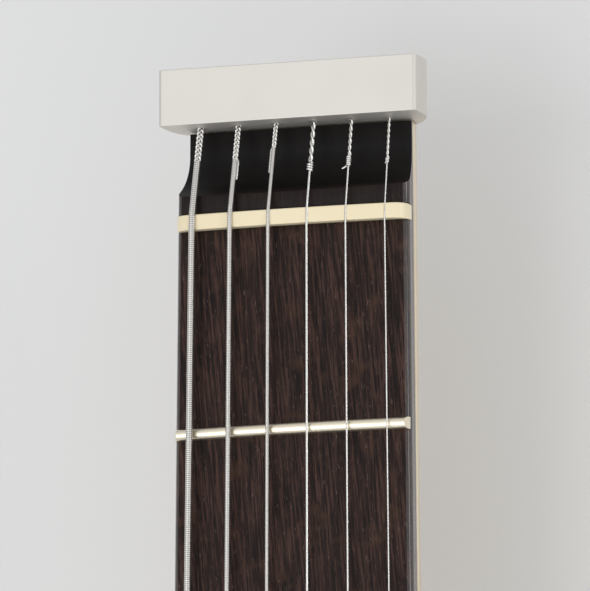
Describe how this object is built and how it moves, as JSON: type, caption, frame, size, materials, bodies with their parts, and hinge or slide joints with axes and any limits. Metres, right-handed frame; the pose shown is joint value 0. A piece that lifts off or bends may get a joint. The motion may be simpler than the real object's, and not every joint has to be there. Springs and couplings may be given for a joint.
{
  "type": "travel guitar",
  "caption": "Headless electric travel guitar with in-body tuners, metal head block, scooped nut shelf, tail rollers and slide-in lap rest.",
  "frame": {"origin": "on the flat back of the body, on the centre line, directly below the saddle line", "axes": "+Z out of the guitar's face, +Y along the neck to the head, +X to the treble side"},
  "size_m": [0.1878, 0.7231, 0.059],
  "materials": {
    "maple": "satin lacquered maple",
    "body_wood": "satin lacquered body wood",
    "rosewood": "oiled dark rosewood",
    "nut_plastic": "polished cream nut",
    "satin_aluminium": "satin",
    "string_steel": "plain and wound steel",
    "steel": "turned",
    "chrome": "polished",
    "black_metal": "black enamel",
    "black_plastic": "moulded",
    "rubber": "soft foam rubber"
  },
  "bodies": {
    "root": {"neck_through_beam": "maple", "bass_wing": "body_wood", "treble_wing": "body_wood", "fingerboard": "rosewood", "nut": "nut_plastic", "head_block": "satin_aluminium", "string_1": "string_steel", "string_2": "string_steel", "string_3": "string_steel", "string_4": "string_steel", "string_5": "string_steel", "string_6": "string_steel", "head_block_screw_bass": "steel", "head_block_screw_treble": "steel", "truss_rod": "steel", "tail_axle": "steel", "bridge_stud_bass": "steel", "bridge_stud_treble": "steel", "pickup_screw_bass": "steel", "pickup_screw_treble": "steel", "volume_control": "steel", "output_jack": "steel", "bridge_bar": "chrome", "jack_nut": "chrome", "strap_button_tail": "chrome", "strap_button_shoulder": "chrome", "tuner_housing_1": "black_metal", "tuner_housing_2": "black_metal", "tuner_housing_3": "black_metal", "tuner_housing_4": "black_metal", "tuner_housing_5": "black_metal", "tuner_housing_6": "black_metal", "pickup": "black_plastic", "tuner_cover": "black_plastic", "electrics_cover": "black_plastic"},
    "tuner_button_6": {"tuner_button_6": "chrome"},
    "tuner_post_6": {"tuner_post_6": "steel"},
    "tail_roller_6": {"tail_roller_6": "satin_aluminium"},
    "tuner_button_5": {"tuner_button_5": "chrome"},
    "tuner_post_5": {"tuner_post_5": "steel"},
    "tail_roller_5": {"tail_roller_5": "satin_aluminium"},
    "tuner_button_4": {"tuner_button_4": "chrome"},
    "tuner_post_4": {"tuner_post_4": "steel"},
    "tail_roller_4": {"tail_roller_4": "satin_aluminium"},
    "tuner_button_3": {"tuner_button_3": "chrome"},
    "tuner_post_3": {"tuner_post_3": "steel"},
    "tail_roller_3": {"tail_roller_3": "satin_aluminium"},
    "tuner_button_2": {"tuner_button_2": "chrome"},
    "tuner_post_2": {"tuner_post_2": "steel"},
    "tail_roller_2": {"tail_roller_2": "satin_aluminium"},
    "tuner_button_1": {"tuner_button_1": "chrome"},
    "tuner_post_1": {"tuner_post_1": "steel"},
    "tail_roller_1": {"tail_roller_1": "satin_aluminium"},
    "volume_knob": {"volume_knob": "black_plastic"},
    "truss_rod_wheel": {"truss_rod_wheel": "steel"},
    "lap_rest": {"lap_rest": "satin_aluminium", "lap_rest_sleeve": "rubber"}
  },
  "joints": [
    {"name": "tuner_button_6_turn", "type": "hinge", "parent": "root", "child": "tuner_button_6", "pos_m": [-0.0225, 0.0608, 0.01], "axis": [1, 0, 0], "continuous": true},
    {"name": "tuner_post_6_turn", "type": "hinge", "parent": "root", "child": "tuner_post_6", "pos_m": [-0.0225, 0.052, 0.01], "axis": [0, 0, 1], "continuous": true},
    {"name": "tail_roller_6_turn", "type": "hinge", "parent": "root", "child": "tail_roller_6", "pos_m": [-0.0251, -0.045, 0.038], "axis": [1, 0, 0], "continuous": true},
    {"name": "tuner_button_5_turn", "type": "hinge", "parent": "root", "child": "tuner_button_5", "pos_m": [-0.0195, 0.1008, 0.01], "axis": [1, 0, 0], "continuous": true},
    {"name": "tuner_post_5_turn", "type": "hinge", "parent": "root", "child": "tuner_post_5", "pos_m": [-0.0195, 0.092, 0.01], "axis": [0, 0, 1], "continuous": true},
    {"name": "tail_roller_5_turn", "type": "hinge", "parent": "root", "child": "tail_roller_5", "pos_m": [-0.01506, -0.045, 0.038], "axis": [1, 0, 0], "continuous": true},
    {"name": "tuner_button_4_turn", "type": "hinge", "parent": "root", "child": "tuner_button_4", "pos_m": [-0.0165, 0.1408, 0.01], "axis": [1, 0, 0], "continuous": true},
    {"name": "tuner_post_4_turn", "type": "hinge", "parent": "root", "child": "tuner_post_4", "pos_m": [-0.0165, 0.132, 0.01], "axis": [0, 0, 1], "continuous": true},
    {"name": "tail_roller_4_turn", "type": "hinge", "parent": "root", "child": "tail_roller_4", "pos_m": [-0.00502, -0.045, 0.038], "axis": [1, 0, 0], "continuous": true},
    {"name": "tuner_button_3_turn", "type": "hinge", "parent": "root", "child": "tuner_button_3", "pos_m": [0.0165, 0.1408, 0.01], "axis": [1, 0, 0], "continuous": true},
    {"name": "tuner_post_3_turn", "type": "hinge", "parent": "root", "child": "tuner_post_3", "pos_m": [0.0165, 0.132, 0.01], "axis": [0, 0, 1], "continuous": true},
    {"name": "tail_roller_3_turn", "type": "hinge", "parent": "root", "child": "tail_roller_3", "pos_m": [0.00502, -0.045, 0.038], "axis": [1, 0, 0], "continuous": true},
    {"name": "tuner_button_2_turn", "type": "hinge", "parent": "root", "child": "tuner_button_2", "pos_m": [0.0195, 0.1008, 0.01], "axis": [1, 0, 0], "continuous": true},
    {"name": "tuner_post_2_turn", "type": "hinge", "parent": "root", "child": "tuner_post_2", "pos_m": [0.0195, 0.092, 0.01], "axis": [0, 0, 1], "continuous": true},
    {"name": "tail_roller_2_turn", "type": "hinge", "parent": "root", "child": "tail_roller_2", "pos_m": [0.01506, -0.045, 0.038], "axis": [1, 0, 0], "continuous": true},
    {"name": "tuner_button_1_turn", "type": "hinge", "parent": "root", "child": "tuner_button_1", "pos_m": [0.0225, 0.0608, 0.01], "axis": [1, 0, 0], "continuous": true},
    {"name": "tuner_post_1_turn", "type": "hinge", "parent": "root", "child": "tuner_post_1", "pos_m": [0.0225, 0.052, 0.01], "axis": [0, 0, 1], "continuous": true},
    {"name": "tail_roller_1_turn", "type": "hinge", "parent": "root", "child": "tail_roller_1", "pos_m": [0.0251, -0.045, 0.038], "axis": [1, 0, 0], "continuous": true},
    {"name": "volume_turn", "type": "hinge", "parent": "root", "child": "volume_knob", "pos_m": [0.048, -0.028, 0.045], "axis": [0, 0, -1], "range_deg": [0, 300]},
    {"name": "truss_rod_adjust", "type": "hinge", "parent": "root", "child": "truss_rod_wheel", "pos_m": [0, 0.16426, 0.0395], "axis": [0, 1, 0], "range_deg": [-180, 180]},
    {"name": "lap_rest_slide", "type": "slide", "parent": "root", "child": "lap_rest", "axis": [1, 0, 0], "range_m": [0, 0.022]}
  ],
  "couplings": [
    {"joint": "tuner_post_6_turn", "follows": "tuner_button_6_turn", "ratio": 0.071429},
    {"joint": "tail_roller_6_turn", "follows": "tuner_button_6_turn", "ratio": -0.038028},
    {"joint": "tuner_post_5_turn", "follows": "tuner_button_5_turn", "ratio": 0.071429},
    {"joint": "tail_roller_5_turn", "follows": "tuner_button_5_turn", "ratio": 0.037438},
    {"joint": "tuner_post_4_turn", "follows": "tuner_button_4_turn", "ratio": 0.071429},
    {"joint": "tail_roller_4_turn", "follows": "tuner_button_4_turn", "ratio": 0.03685},
    {"joint": "tuner_post_3_turn", "follows": "tuner_button_3_turn", "ratio": 0.071429},
    {"joint": "tail_roller_3_turn", "follows": "tuner_button_3_turn", "ratio": -0.036292},
    {"joint": "tuner_post_2_turn", "follows": "tuner_button_2_turn", "ratio": 0.071429},
    {"joint": "tail_roller_2_turn", "follows": "tuner_button_2_turn", "ratio": -0.036043},
    {"joint": "tuner_post_1_turn", "follows": "tuner_button_1_turn", "ratio": 0.071429},
    {"joint": "tail_roller_1_turn", "follows": "tuner_button_1_turn", "ratio": 0.035841}
  ]
}
